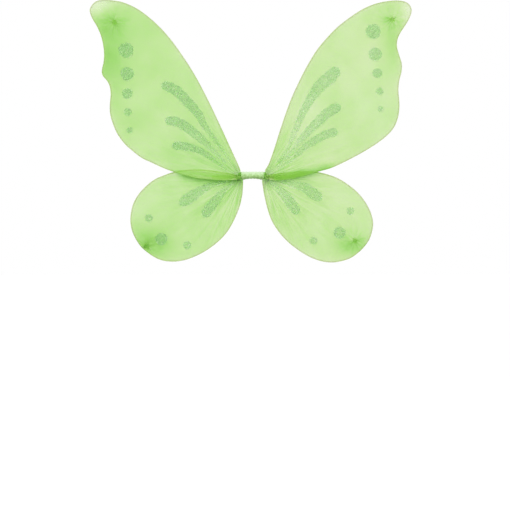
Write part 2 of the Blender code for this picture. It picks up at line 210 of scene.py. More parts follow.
def tube(name, path, radius, sides, mat, caps=True):
    """A round tube along 3-D points in mm, by carrying one cross direction along the path."""
    p = np.asarray(path, float)
    along = np.gradient(p, axis=0)
    along /= np.linalg.norm(along, axis=1)[:, None]
    radius = np.broadcast_to(radius, len(p))
    side = np.cross(along[0], [0.3, 1.0, 0.2])
    verts = []
    for i in range(len(p)):
        side = side - along[i] * (side @ along[i])
        side /= np.linalg.norm(side)
        up = np.cross(along[i], side)
        a = 2 * math.pi * np.arange(sides) / sides
        verts.append(p[i] + radius[i] * (np.cos(a)[:, None] * side + np.sin(a)[:, None] * up))
    faces = []
    for i in range(len(p) - 1):
        for j in range(sides):
            k = (j + 1) % sides
            faces.append((i * sides + j, i * sides + k, (i + 1) * sides + k, (i + 1) * sides + j))
    if caps:
        faces += [tuple(range(sides))[::-1], tuple(range((len(p) - 1) * sides, len(p) * sides))]
    return new_object(name, np.concatenate(verts), faces, mat)


# ---------------------------------------------------------------- materials
def node_material(name):
    mat = bpy.data.materials.new(name)
    mat.use_nodes = True
    nodes, links = mat.node_tree.nodes, mat.node_tree.links
    return mat, nodes, links, nodes["Principled BSDF"]


def math_node(nodes, links, kind, a, b=None, clamp=False):
    n = nodes.new("ShaderNodeMath")
    n.operation = kind
    n.use_clamp = clamp
    for socket, value in zip(n.inputs, (a, b)):
        if value is None:
            continue
        if isinstance(value, (int, float)):
            socket.default_value = value
        else:
            links.new(value, socket)
    return n.outputs[0]


def ramp(nodes, links, source, stops):
    n = nodes.new("ShaderNodeValToRGB")
    els = n.color_ramp.elements
    while len(els) < len(stops):
        els.new(0.5)
    for el, (at, colour) in zip(els, stops):
        el.position = at
        el.color = (*colour, 1.0)
    links.new(source, n.inputs[0])
    return n.outputs[0]


def noise(nodes, links, vector, scale, detail=3.0, rough=0.55):
    n = nodes.new("ShaderNodeTexNoise")
    n.inputs["Scale"].default_value = scale
    n.inputs["Detail"].default_value = detail
    n.inputs["Roughness"].default_value = rough
    links.new(vector, n.inputs["Vector"])
    return n.outputs[0]


def bump(nodes, links, height, strength, distance, shader):
    n = nodes.new("ShaderNodeBump")
    n.inputs["Strength"].default_value = strength
    n.inputs["Distance"].default_value = distance
    links.new(height, n.inputs["Height"])
    links.new(n.outputs[0], shader.inputs["Normal"])


LAYER_CLEAR = 0.47  # the share of light that one layer of density 1 lets straight through
NYLON_STOPS = [  # colour against density / 3
    (0.00, (0.64, 0.78, 0.42)),
    (0.22, (0.49, 0.745, 0.225)),
    (0.333, (0.395, 0.715, 0.130)),
    (0.467, (0.275, 0.655, 0.064)),
    (0.567, (0.235, 0.570, 0.047)),
    (0.867, (0.145, 0.440, 0.030)),
]


def rays(nodes, links, away, reach, turns, along, seed):
    """A line pattern, 0 to 1, that runs outwards: thin ridges of noise laid over direction."""
    unit = nodes.new("ShaderNodeVectorMath")
    unit.operation = "NORMALIZE"
    links.new(away, unit.inputs[0])
    spread = nodes.new("ShaderNodeVectorMath")
    spread.operation = "SCALE"
    links.new(unit.outputs[0], spread.inputs[0])
    spread.inputs["Scale"].default_value = turns
    parts = nodes.new("ShaderNodeSeparateXYZ")
    links.new(spread.outputs[0], parts.inputs[0])
    out = math_node(nodes, links, "MULTIPLY_ADD", reach, along)
    out.node.inputs[2].default_value = seed
    place = nodes.new("ShaderNodeCombineXYZ")
    links.new(parts.outputs[0], place.inputs[0])
    links.new(out, place.inputs[1])
    links.new(parts.outputs[2], place.inputs[2])
    value = noise(nodes, links, place.outputs[0], 1.0, 2.0, 0.6)
    gap = math_node(nodes, links, "ABSOLUTE", math_node(nodes, links, "SUBTRACT", value, 0.5))
    line = math_node(nodes, links, "SUBTRACT", 1.0, math_node(nodes, links, "MULTIPLY", gap, 17.0), clamp=True)
    return line


def from_point(nodes, links, where, point):
    """(vector in the wing's plane, length) from a point given in mm."""
    away = nodes.new("ShaderNodeVectorMath")
    away.operation = "SUBTRACT"
    links.new(where, away.inputs[0])
    away.inputs[1].default_value = (point[0] * MM, 0, point[1] * MM)
    flat = nodes.new("ShaderNodeVectorMath")
    flat.operation = "MULTIPLY"
    links.new(away.outputs[0], flat.inputs[0])
    flat.inputs[1].default_value = (1, 0, 1)
    size = nodes.new("ShaderNodeVectorMath")
    size.operation = "LENGTH"
    links.new(flat.outputs[0], size.inputs[0])
    return flat.outputs[0], size.outputs["Value"]


def falling(nodes, links, reach, length):
    """exp(-reach / length in mm)"""
    return math_node(nodes, links, "POWER", math.exp(-1), math_node(nodes, links, "DIVIDE", reach, length * MM))


def nylon_material(name, wing=None, tone=1.0):
    """Sheer stretched knit: a fine net of threads, denser and deeper green where it is gathered,
    with hairline folds running out from the root, drawn as dark lines of denser cloth and painted shade beside pale
    lines of painted highlight, and short gathers round the tied knot."""
    mat, nodes, links, shader = node_material(name)
    where = nodes.new("ShaderNodeTexCoord").outputs["Object"]
    dense = nodes.new("ShaderNodeAttribute")
    dense.attribute_name = "dens_with_painted_light"
    parts = nodes.new("ShaderNodeSeparateXYZ")
    links.new(where, parts.inputs[0])
    x, z = parts.outputs[0], parts.outputs[2]
    u = math_node(nodes, links, "ADD", x, z)
    v = math_node(nodes, links, "SUBTRACT", x, z)
    pitch = 2 * math.pi / 0.00075
    s1 = math_node(nodes, links, "SINE", math_node(nodes, links, "MULTIPLY", u, pitch))
    s2 = math_node(nodes, links, "SINE", math_node(nodes, links, "MULTIPLY", v, pitch))
    net = math_node(nodes, links, "MULTIPLY", s1, s2)
    fine = noise(nodes, links, where, 1400.0, 2.0)
    broad = noise(nodes, links, where, 48.0, 3.0)
    share = math_node(nodes, links, "MULTIPLY_ADD", net, 0.10)
    share.node.inputs[2].default_value = 1.0
    share = math_node(nodes, links, "ADD", share, math_node(nodes, links, "MULTIPLY", math_node(nodes, links, "SUBTRACT", fine, 0.5), 0.30))
    share = math_node(nodes, links, "ADD", share, math_node(nodes, links, "MULTIPLY", math_node(nodes, links, "SUBTRACT", broad, 0.5), 0.28))
    density = math_node(nodes, links, "MULTIPLY", dense.outputs["Fac"], share)
    height = net
    if wing:
        side = -1 if wing.endswith("left") else 1
        seed = 3.0 + 7.0 * list(OUTLINE).index(wing)
        away, reach = from_point(nodes, links, where, GATHER[wing.split("_")[1]])
        # dark fold lines: denser folded cloth and painted shade in the creases
        dark = rays(nodes, links, away, reach, 10.0, 9.0, seed)
        fine_dark = rays(nodes, links, away, reach, 22.0, 12.0, seed + 2.3)
        # pale fold lines: painted highlight along the fold crests, taken off the density
        light = rays(nodes, links, away, reach, 9.0, 7.0, seed + 4.1)
        far = falling(nodes, links, reach, 46.0)
        near = falling(nodes, links, reach, 20.0)
        folds_and_painted_light = math_node(nodes, links, "MULTIPLY", math_node(nodes, links, "MULTIPLY", dark, far), 0.80)
        folds_and_painted_light = math_node(nodes, links, "ADD", folds_and_painted_light, math_node(nodes, links, "MULTIPLY", math_node(nodes, links, "MULTIPLY", fine_dark, near), 0.40))
        folds_and_painted_light = math_node(nodes, links, "SUBTRACT", folds_and_painted_light, math_node(nodes, links, "MULTIPLY", math_node(nodes, links, "MULTIPLY", light, far), 0.55))
        bunched = math_node(nodes, links, "MULTIPLY", falling(nodes, links, reach, 11.0), 0.85)
        folds_and_painted_light = math_node(nodes, links, "MULTIPLY", folds_and_painted_light, math_node(nodes, links, "SUBTRACT", 1.0, bunched))
        out, span = from_point(nodes, links, where, KNOT[wing])
        star = rays(nodes, links, out, span, 2.6, 30.0, seed + 6.0)
        pale = rays(nodes, links, out, span, 2.3, 30.0, seed + 8.7)
        round_knot = falling(nodes, links, span, 9.0)
        pull = math_node(nodes, links, "MULTIPLY", math_node(nodes, links, "SUBTRACT", star, math_node(nodes, links, "MULTIPLY", pale, 0.55)), round_knot)
        folds_and_painted_light = math_node(nodes, links, "ADD", folds_and_painted_light, math_node(nodes, links, "MULTIPLY", pull, 1.0))
        density = math_node(nodes, links, "ADD", density, folds_and_painted_light)
        height = math_node(nodes, links, "SUBTRACT", net, math_node(nodes, links, "MULTIPLY", folds_and_painted_light, 1.2))
    density = math_node(nodes, links, "MAXIMUM", density, 0.0)
    colour = ramp(nodes, links, math_node(nodes, links, "DIVIDE", density, 3.0, clamp=True), NYLON_STOPS)
    warm = nodes.new("ShaderNodeMix")
    warm.data_type = "RGBA"
    drift = noise(nodes, links, where, 14.0, 2.0)
    thin = math_node(nodes, links, "SUBTRACT", 1.55, density, clamp=True)
    links.new(math_node(nodes, links, "MULTIPLY", math_node(nodes, links, "MULTIPLY", drift, thin), 0.34 * tone), warm.inputs["Factor"])
    links.new(colour, warm.inputs["A"])
    warm.inputs["B"].default_value = (0.62, 0.68, 0.26, 1.0)
    links.new(warm.outputs["Result"], shader.inputs["Base Color"])
    clear = math_node(nodes, links, "POWER", LAYER_CLEAR, density)
    links.new(math_node(nodes, links, "SUBTRACT", 1.0, clear, clamp=True), shader.inputs["Alpha"])
    rough = math_node(nodes, links, "MULTIPLY_ADD", fine, 0.25)
    rough.node.inputs[2].default_value = 0.42
    links.new(rough, shader.inputs["Roughness"])
    shader.inputs["Specular IOR Level"].default_value = 0.25
    shader.inputs["Sheen Weight"].default_value = 0.12
    shader.inputs["Sheen Roughness"].default_value = 0.4
    bump(nodes, links, height, 0.35, 0.00008, shader)
    return mat


def wire_material():
    mat, nodes, links, shader = node_material("dull_wire")
    where = nodes.new("ShaderNodeTexCoord").outputs["Object"]
    spots = noise(nodes, links, where, 420.0, 4.0)
    colour = ramp(nodes, links, spots, [(0.3, (0.56, 0.55, 0.42)), (0.55, (0.68, 0.68, 0.54)), (0.8, (0.80, 0.79, 0.68))])
    links.new(colour, shader.inputs["Base Color"])
    shader.inputs["Metallic"].default_value = 0.35
    rough = math_node(nodes, links, "MULTIPLY_ADD", spots, 0.3)
    rough.node.inputs[2].default_value = 0.35
    links.new(rough, shader.inputs["Roughness"])
    bump(nodes, links, spots, 0.2, 0.0001, shader)
    return mat


def steel_material():
    mat, nodes, links, shader = node_material("stem_steel")
    where = nodes.new("ShaderNodeTexCoord").outputs["Object"]
    parts = nodes.new("ShaderNodeSeparateXYZ")
    links.new(where, parts.inputs[0])
    lay = math_node(nodes, links, "SINE", math_node(nodes, links, "MULTIPLY", math_node(nodes, links, "ADD", parts.outputs[0], parts.outputs[2]), 1400.0))
    spots = noise(nodes, links, where, 600.0, 4.0)
    colour = ramp(nodes, links, spots, [(0.3, (0.40, 0.36, 0.34)), (0.75, (0.62, 0.58, 0.55))])
    links.new(colour, shader.inputs["Base Color"])
    shader.inputs["Metallic"].default_value = 0.9
    rough = math_node(nodes, links, "MULTIPLY_ADD", spots, 0.3)
    rough.node.inputs[2].default_value = 0.28
    links.new(rough, shader.inputs["Roughness"])
    bump(nodes, links, lay, 0.6, 0.0003, shader)
    return mat


def cloth_material(name, dark, mid, light, rib_axis, rib_pitch, roughness, weave=0.5, painted_light_from_above=0.0, patch=160.0, ends=None):
    """Close-woven tape, thread or elastic: ribs across one axis, fibre noise and worn high spots, and, when asked,
    painted light from above: paler on top, darker beneath.
    """
    mat, nodes, links, shader = node_material(name)
    where = nodes.new("ShaderNodeTexCoord").outputs["Object"]
    parts = nodes.new("ShaderNodeSeparateXYZ")
    links.new(where, parts.inputs[0])
    rib = math_node(nodes, links, "SINE", math_node(nodes, links, "MULTIPLY", parts.outputs[rib_axis], 2 * math.pi / rib_pitch))
    fibre = noise(nodes, links, where, 1800.0, 3.0, 0.6)
    broad = noise(nodes, links, where, patch, 3.0)
    mix = math_node(nodes, links, "ADD", math_node(nodes, links, "MULTIPLY", rib, 0.12 * weave), math_node(nodes, links, "MULTIPLY", fibre, 0.45))
    mix = math_node(nodes, links, "ADD", mix, math_node(nodes, links, "MULTIPLY", broad, 0.55))
    if painted_light_from_above:  # painted light from above: the tape is painted paler towards its top and darker towards its bottom
        mix = math_node(nodes, links, "ADD", mix, math_node(nodes, links, "MULTIPLY", parts.outputs[2], painted_light_from_above / 0.006))
    colour = ramp(nodes, links, mix, [(0.25 + 0.09 * bool(painted_light_from_above), dark), (0.5 + 0.04 * bool(painted_light_from_above), mid), (0.78, light)])
    if ends:  # dyed like the gathered cloth where it goes in under it
        far = math_node(nodes, links, "ABSOLUTE", parts.outputs[0])
        worn = math_node(nodes, links, "MULTIPLY", math_node(nodes, links, "SUBTRACT", broad, 0.5), 0.002)
        far = math_node(nodes, links, "SUBTRACT", math_node(nodes, links, "ADD", far, worn), 0.0152)
        under = nodes.new("ShaderNodeMix")
        under.data_type = "RGBA"
        links.new(math_node(nodes, links, "DIVIDE", far, 0.0022, clamp=True), under.inputs["Factor"])
        links.new(colour, under.inputs["A"])
        links.new(ramp(nodes, links, broad, [(0.25, ends[0]), (0.5, ends[1]), (0.8, ends[2])]), under.inputs["B"])
        colour = under.outputs["Result"]
    links.new(colour, shader.inputs["Base Color"])
    rough = math_node(nodes, links, "MULTIPLY_ADD", fibre, 0.2)
    rough.node.inputs[2].default_value = roughness - 0.1
    links.new(rough, shader.inputs["Roughness"])
    shader.inputs["Specular IOR Level"].default_value = 0.3
    shader.inputs["Sheen Weight"].default_value = 0.2
    both = math_node(nodes, links, "ADD", math_node(nodes, links, "MULTIPLY", rib, 0.5), fibre)
    bump(nodes, links, both, 0.5, 0.00015, shader)
    return mat


def glue_material():
    """Dried glitter glue: a cloudy grey-green film full of fine specks, thinning out at its tail."""
    mat, nodes, links, shader = node_material("glitter_glue")
    where = nodes.new("ShaderNodeTexCoord").outputs["Object"]
    fade = nodes.new("ShaderNodeAttribute")
    fade.attribute_name = "fade"
    cells = nodes.new("ShaderNodeTexVoronoi")
    cells.inputs["Scale"].default_value = 1000.0
    links.new(where, cells.inputs["Vector"])
    grain = cells.outputs["Color"]
    sep = nodes.new("ShaderNodeSeparateColor")
    links.new(grain, sep.inputs[0])
    broad = noise(nodes, links, where, 260.0, 4.0, 0.6)
    tone = math_node(nodes, links, "ADD", math_node(nodes, links, "MULTIPLY", sep.outputs[0], 0.55), math_node(nodes, links, "MULTIPLY", broad, 0.45))
    colour = ramp(nodes, links, tone, [(0.15, (0.17, 0.50, 0.10)), (0.5, (0.27, 0.60, 0.16)), (0.85, (0.44, 0.74, 0.29))])
    links.new(colour, shader.inputs["Base Color"])
    clump = noise(nodes, links, where, 480.0, 2.0, 0.5)
    cover = math_node(nodes, links, "MULTIPLY_ADD", clump, 1.5)
    cover.node.inputs[2].default_value = -0.30
    links.new(math_node(nodes, links, "MULTIPLY", cover, fade.outputs["Fac"], clamp=True), shader.inputs["Alpha"])
    rough = math_node(nodes, links, "MULTIPLY_ADD", sep.outputs[1], 0.4)
    rough.node.inputs[2].default_value = 0.25
    links.new(rough, shader.inputs["Roughness"])
    bump(nodes, links, tone, 0.5, 0.0002, shader)
    return mat


def flake_material():
    mat, nodes, links, shader = node_material("glitter_flakes")
    tone = nodes.new("ShaderNodeAttribute")
    tone.attribute_name = "tone"
    colour = ramp(nodes, links, tone.outputs["Fac"], [(0.0, (0.18, 0.50, 0.11)), (0.5, (0.33, 0.67, 0.20)), (0.85, (0.52, 0.80, 0.36)), (1.0, (0.84, 0.95, 0.70))])
    links.new(colour, shader.inputs["Base Color"])
    shader.inputs["Metallic"].default_value = 0.2
    rough = math_node(nodes, links, "MULTIPLY_ADD", tone.outputs["Fac"], -0.2)
    rough.node.inputs[2].default_value = 0.42
    links.new(rough, shader.inputs["Roughness"])
    return mat


def floor_material():
    mat, nodes, links, shader = node_material("pale_floor")
    where = nodes.new("ShaderNodeTexCoord").outputs["Object"]
    grain = noise(nodes, links, where, 3.0, 2.0)
    colour = ramp(nodes, links, grain, [(0.3, (0.925, 0.925, 0.925)), (0.7, (0.935, 0.935, 0.935))])
    links.new(colour, shader.inputs["Base Color"])
    shader.inputs["Roughness"].default_value = 0.9
    shader.inputs["Specular IOR Level"].default_value = 0.1
    shader.inputs["Emission Color"].default_value = (1, 1, 1, 1)
    shader.inputs["Emission Strength"].default_value = 0.09
    return mat


NYLON = {wing: nylon_material(f"nylon_{wing}", wing, 1.7 if wing.endswith("right") else 1.0) for wing in OUTLINE}
GATHERED = nylon_material("nylon_gathered")
WIRE, STEEL = wire_material(), steel_material()
# the bar tape's 0.36 sets its painted light from above: paler top, darker bottom
TAPE = cloth_material("bar_tape", (0.20, 0.35, 0.10), (0.44, 0.68, 0.28), (0.66, 0.84, 0.55), 0, 0.0009, 0.7, 0.5, 0.36, 330.0, [(0.18, 0.50, 0.06), (0.28, 0.64, 0.11), (0.42, 0.76, 0.22)])
THREAD = cloth_material("tie_thread", (0.13, 0.40, 0.05), (0.23, 0.57, 0.10), (0.38, 0.70, 0.22), 1, 0.0006, 0.75)
ELASTIC = cloth_material("woven_elastic", (0.22, 0.50, 0.12), (0.40, 0.72, 0.22), (0.58, 0.84, 0.38), 1, 0.0014, 0.8, 1.2)
GLUE, FLAKE = glue_material(), flake_material()


# ---------------------------------------------------------------- the wings
def hem_height(hand, x):
    """The z of the upper wing's lower edge, over x."""
    points = OUTLINE[f"upper_{hand}"]
    low = points[next(i for i, p in enumerate(points) if abs(p[0]) < 130.5 and i > 25) :]
    low = sorted(low + [(math.copysign(10.0, points[0][0]), -4.6)])
    return np.interp(x, [p[0] for p in low], [p[1] - SKIN for p in low])


class Wing:
    """One wing's cloth, as heights front and back of its dished plane, in mm."""

    def __init__(self, name):
        self.name = name
        self.level, self.hand = name.split("_")
        self.side = -1 if self.hand == "left" else 1
        self.plane = PLANE[self.level]
        self.g = np.array(GATHER[self.hand])
        self.knot = np.array(KNOT[name])
        self.seed = {"upper_left": 11, "upper_right": 23, "lower_left": 37, "lower_right": 53}[name]
        self.wire = smooth_path(OUTLINE[name], 900)
        along = np.gradient(self.wire, axis=0)
        along /= np.linalg.norm(along, axis=1)[:, None]
        outward = np.stack([along[:, 1], -along[:, 0]], axis=1)
        if (outward[450] @ (self.wire[450] - self.wire.mean(0))) < 0:
            outward = -outward
        self.edge = self.wire + outward * SKIN
        if self.level == "lower":  # the cloth runs on up to the bar's underside
            start = np.array([self.side * 13.7, -5.0])
            t = np.linspace(0, 1, 24, endpoint=False)[:, None]
            self.edge = np.vstack([start + (self.edge[0] - start) * t, self.edge])
        rel = self.edge - self.g
        r = np.linalg.norm(rel, axis=1)
        turn = np.unwrap(np.arctan2(rel[:, 1], rel[:, 0]))
        self.tip = int(r.argmax())
        self.reach = float(r.max())
        self.inner = self._edge_angle(r[: self.tip + 1], turn[: self.tip + 1])
        self.outer = self._edge_angle(r[self.tip :][::-1], turn[self.tip :][::-1])
        rng = np.random.default_rng(self.seed)
        self.pleat_shift = rng.uniform(0, 6.28, 4)

    def _edge_angle(self, r, turn):
        """The edge's angle about the gather as a function of distance from it."""
        keep = r >= np.maximum.accumulate(r) - 1e-9
        return r[keep], turn[keep]

    def angles(self, rho):
        a = np.interp(rho, *self.inner)
        b = np.interp(rho, *self.outer)
        return a, b

    def dish(self, x, z):
        return self.plane - SWEEP * ((x - self.side * ROOT_X) ** 2 + z**2)

    def rim(self, x, z):
        """Distance in from the cloth's outer edge."""
        flat = np.stack([np.ravel(x), np.ravel(z)], axis=1)
        out = np.empty(len(flat))
        for i in range(0, len(flat), 4000):
            d = flat[i : i + 4000, None, :] - self.edge[None, ::2, :]
            out[i : i + 4000] = np.sqrt((d * d).sum(2).min(1))
        return out.reshape(np.shape(x))

    def pleats(self, theta, rho, layer):
        """(height from -1 to 1, how deep in a valley) of the gathers that run out from the root."""
        s = self.seed * 10 + layer
        fine = theta * 15.0 * 2 * math.pi + 1.6 * waves(theta, s, 3, 9) + self.pleat_shift[layer]
        mid = theta * 6.5 * 2 * math.pi + 1.8 * waves(theta, s + 3, 2, 6) + self.pleat_shift[2 + layer]
        ridge = lambda p: 1 - 2 * np.abs(np.sin(p / 2)) ** 0.7
        near = np.exp(-rho / 26.0) * step(1.0, 7.0, rho)
        far = np.exp(-rho / 62.0) * (0.55 + 0.45 * np.tanh(1.5 * waves(theta, s + 7, 4, 12)))
        height = 0.78 * near * ridge(fine) + 0.62 * far * ridge(mid)
        valley = 0.9 * near * np.abs(np.sin(fine / 2)) ** 10 + 0.75 * far * np.abs(np.sin(mid / 2)) ** 22
        return height, valley

    def tip_pull(self, x, z, layer):
        """The short gathers round the tied knot near the tip."""
        dx, dz = x - self.knot[0], z - self.knot[1]
        k = np.hypot(dx, dz)
        phi = np.arctan2(dz, dx)
        ray = np.sin(phi * 9 + 2.0 * np.sin(phi * 2 + self.seed) + layer * 1.3)
        fade = np.exp(-k / 9.0) * step(0.4, 3.0, k)
        return k, phi, ray, fade

    def height(self, x, z, rim, layer):
        """How far the front (layer 0) or back (layer 1) stands from the dished plane."""
        dx, dz = x - self.g[0], z - self.g[1]
        rho, theta = np.hypot(dx, dz), np.arctan2(dz, dx) % (2 * math.pi)
        d = np.clip(rim, 0, None)
        round_part = np.sqrt(np.clip(SKIN**2 - (SKIN - np.minimum(d, SKIN)) ** 2, 0, None))
        inside = SKIN * (0.44 + 0.56 * np.exp(-np.clip(d - SKIN, 0, None) / 9.0))
        h = np.where(d < SKIN, round_part, inside)
        deep = np.minimum(1.0, d / 2.5)
        pleat, _ = self.pleats(theta, rho, layer)
        root = np.exp(-((rho / 10.0) ** 2))
        if self.level == "upper":
            full = 2.2 * root if layer == 0 else 0.35 * root
        else:
            low = step(3.55, 4.25, theta) if self.hand == "left" else 1 - step(5.2, 5.9, np.where(theta < 2, theta + 2 * math.pi, theta))
            full = (0.5 + 4.6 * low) * root if layer == 0 else 0.9 * root
        room = np.exp(-rho / 30.0)
        h = h + deep * (full + 0.55 * room + 0.55 * pleat * (0.5 + 0.5 * deep))
        k, _, ray, fade = self.tip_pull(x, z, layer)
        h = h + deep * fade * (0.45 * ray + 0.2)
        h = h + deep * (0.8 if layer else -0.3) * np.exp(-((k / 2.6) ** 2))
        h = h + deep * 0.12 * blotches(x, z, self.seed + 5 + layer, 42.0)
        return np.maximum(h, 0.16 * np.minimum(1.0, d / 0.3) if layer == 0 else 0.12 * np.minimum(1.0, d / 0.3))

    def front(self, x, z, rim=None):
        """The y of the front layer."""
        rim = self.rim(x, z) if rim is None else rim
        return self.dish(x, z) - self.height(x, z, rim, 0)

    def density(self, x, z, rim, layer):
        """How closely the threads lie: 1 in the open wing, 2 to 3 in the gathers, with painted shade in the pleat
        valleys and a painted shadow below the upper wing's hem added in.
        """
        dx, dz = x - self.g[0], z - self.g[1]
        rho, theta = np.hypot(dx, dz), np.arctan2(dz, dx) % (2 * math.pi)
        base = {"upper_left": 0.98, "upper_right": 0.87, "lower_left": 0.96, "lower_right": 0.90}[self.name]
        _, valley = self.pleats(theta, rho, layer)
        # 0.22 * valley: denser cloth and painted shade in the pleat valleys
        d = base + 0.20 * np.exp(-rho / 80.0) - 0.16 * np.exp(-rho / 12.0) + 0.22 * valley
        over = step(8, 22, rho) * (1 - step(88, 112, rho)) * (np.abs(self._to_outer(rho, theta)) < 0.5)
        d += ((0.55 if self.level == "upper" else 0.0) * over - 0.42 * base * (1 - over)) * np.exp(-rim / 1.9)
        d += 0.055 * blotches(x, z, self.seed + 1, 70.0)
        k = np.hypot(x - self.knot[0], z - self.knot[1])
        towards = {"upper_left": -1.9, "upper_right": -2.45, "lower_left": 1.2, "lower_right": -1.4}[self.name]
        phi = np.arctan2(z - self.knot[1], x - self.knot[0])
        lean = 0.3 + 0.7 * (0.5 + 0.5 * np.cos(phi - towards))
        peak = {"upper_left": 0.30, "upper_right": 0.05, "lower_left": 1.1, "lower_right": 0.55}[self.name]
        d += peak * np.exp(-((k / 2.8) ** 2)) + 0.42 * lean * np.exp(-k / 17.0)
        # pale, stretched cloth past the knot and deeper colour on the tip's inner side
        spot = lambda cx, cz, sx, sz: np.exp(-(((x - cx) / sx) ** 2) - ((z - cz) / sz) ** 2)
        if self.name == "upper_left":
            d += 0.52 * spot(-210, 180, 30, 54) + 0.08 * spot(-150, 225, 60, 26) - 0.50 * spot(-223, 243, 18, 13) - 0.15 * spot(-200, 250, 22, 6)
        elif self.name == "upper_right":
            d += 0.24 * spot(203, 200, 14, 32) - 0.34 * spot(224, 240, 11, 16) - 0.10 * spot(60, 80, 14, 50)
        elif self.name == "lower_left":
            d += 0.40 * spot(-146, -98, 26, 20) - 0.08 * spot(-150, -30, 30, 30)
        else:
            d += 0.30 * spot(140, -102, 24, 13) - 0.12 * spot(130, -22, 30, 24)
        right = self.side > 0
        if self.level == "upper":  # the hem over the lower wing hangs double
            under = step(8, 22, rho) * (1 - step(88, 112, rho))
            low_edge = np.exp(-((rim / 9.0) ** 2)) * (np.abs(self._to_outer(rho, theta)) < 0.5)
            d += (0.62 if right else 0.06) * under * low_edge
        else:
            # painted shadow of the upper wing's hem and wire on the lower wing: darker just below the hem and fading
            # downwards; on the right it is also darker behind the upper wing, on the left paler there
            hem = hem_height(self.hand, x)
            below = hem - z
            reach = np.abs(x)
            inside = step(10, 18, reach) * (1 - step(96, 116, reach))
            hem_shadow = (0.45 if right else 1.15) + (0.2 if right else 0.45) * (1 - step(36, 82, reach))
            soft = 4.2 - (0.0 if right else 1.2) * (1 - step(40, 80, reach))
            d += hem_shadow * inside * np.exp(-np.clip(below, 0, None) / soft) * step(-0.8, 0.4, below)
            behind = step(0.0, 1.0, -below)
            if right:
                d += inside * behind * (0.75 * step(2.0, 4.5, rim) - 0.45 * (1 - step(2.0, 4.5, rim)))
            else:
                d -= inside * behind * 0.62 * step(30, 50, reach)
        return np.clip(d, 0.3, 3.0)

    def _to_outer(self, rho, theta):
        """Angle between a point and the outer edge at the same distance from the gather."""
        _, b = self.angles(rho)
        return (theta - b + math.pi) % (2 * math.pi) - math.pi


def wing_rows(reach):
    """Distances from the gather: close together in the pleats and at the tip."""
    t = np.linspace(0, 1, 150)
    rows = 0.7 + (reach - 5.0 - 0.7) * t**1.5
    last = reach - 5.0 * (1 - np.linspace(0, 1, 26)[1:]) ** 2
    return np.concatenate([rows, last])


def wing_columns():
    """Shares across the wing, with the two rims finely cut."""
    inner = np.linspace(0.02, 0.98, 216)
    rim = 0.02 * np.linspace(0, 1, 13)[:-1] ** 1.7
    return np.concatenate([rim, inner, 1 - rim[::-1]])


def make_sleeve(wing):
    rows, cols = wing_rows(wing.reach), wing_columns()
    a, b = wing.angles(rows)
    theta = a[:, None] + (b - a)[:, None] * cols[None, :]
    x = wing.g[0] + rows[:, None] * np.cos(theta)
    z = wing.g[1] + rows[:, None] * np.sin(theta)
    rim = wing.rim(x, z)
    n, m = x.shape
    # the neck is open cloth: only the true outer edge counts as rim
    rim[:, 0] = rim[:, -1] = 0.0
    base = wing.dish(x, z)
    parts, dens_with_painted_light = [], []
    for layer, sign in ((0, -1.0), (1, 1.0)):
        h = wing.height(x, z, rim, layer)
        h[:, 0] = h[:, -1] = 0.0
        h[-1, :] = 0.0
        parts.append(np.stack([x, base + sign * h, z], axis=2).reshape(-1, 3))
        dens_with_painted_light.append(wing.density(x, z, rim, layer).ravel())
    verts, dens_with_painted_light = np.concatenate(parts), np.concatenate(dens_with_painted_light)
    # merge the shared rim: the back layer's border points become the front's
    count = n * m
    back = np.arange(count) + count
    grid = np.arange(count).reshape(n, m)
    back = back.reshape(n, m)
    back[:, 0], back[:, -1], back[-1, :] = grid[:, 0], grid[:, -1], grid[-1, :]
    faces = []
    for layer, flip in ((grid, False), (back, True)):
        q = np.stack([layer[:-1, :-1], layer[:-1, 1:], layer[1:, 1:], layer[1:, :-1]], axis=2).reshape(-1, 4)
        faces.append(q[:, ::-1] if flip else q)
    # close the neck between the layers
    neck = [(int(grid[0, j]), int(grid[0, j + 1]), int(back[0, j + 1]), int(back[0, j])) for j in range(m - 1)]
    quads = np.concatenate(faces).tolist()
    clean = []
    for f in quads + neck:
        u = [v for i, v in enumerate(f) if v != f[i - 1]]
        if len(set(u)) >= 3:
            clean.append(tuple(u))
    used = np.zeros(len(verts), bool)
    used[np.unique(np.concatenate([np.array(f) for f in clean]))] = True
    index = np.cumsum(used) - 1
    clean = [tuple(int(index[v]) for v in f) for f in clean]
    obj = new_object(f"{wing.name}_nylon", verts[used], clean, NYLON[wing.name])
    point_value(obj, "dens_with_painted_light", dens_with_painted_light[used])
    area = sum(p.area for p in obj.data.polygons) / 2
    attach(obj, f"{wing.name}_wing")
    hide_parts(f"{wing.name}_sleeve")
    return obj, area


def make_wire(wing):
    p = smooth_path(OUTLINE[wing.name], 620)
    y = wing.dish(p[:, 0], p[:, 1])
    obj = tube(f"{wing.name}_wire_loop", np.stack([p[:, 0], y, p[:, 1]], axis=1), WIRE_R, 12, WIRE)
    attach(obj, f"{wing.name}_wing")
    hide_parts(f"{wing.name}_wire")
    return obj


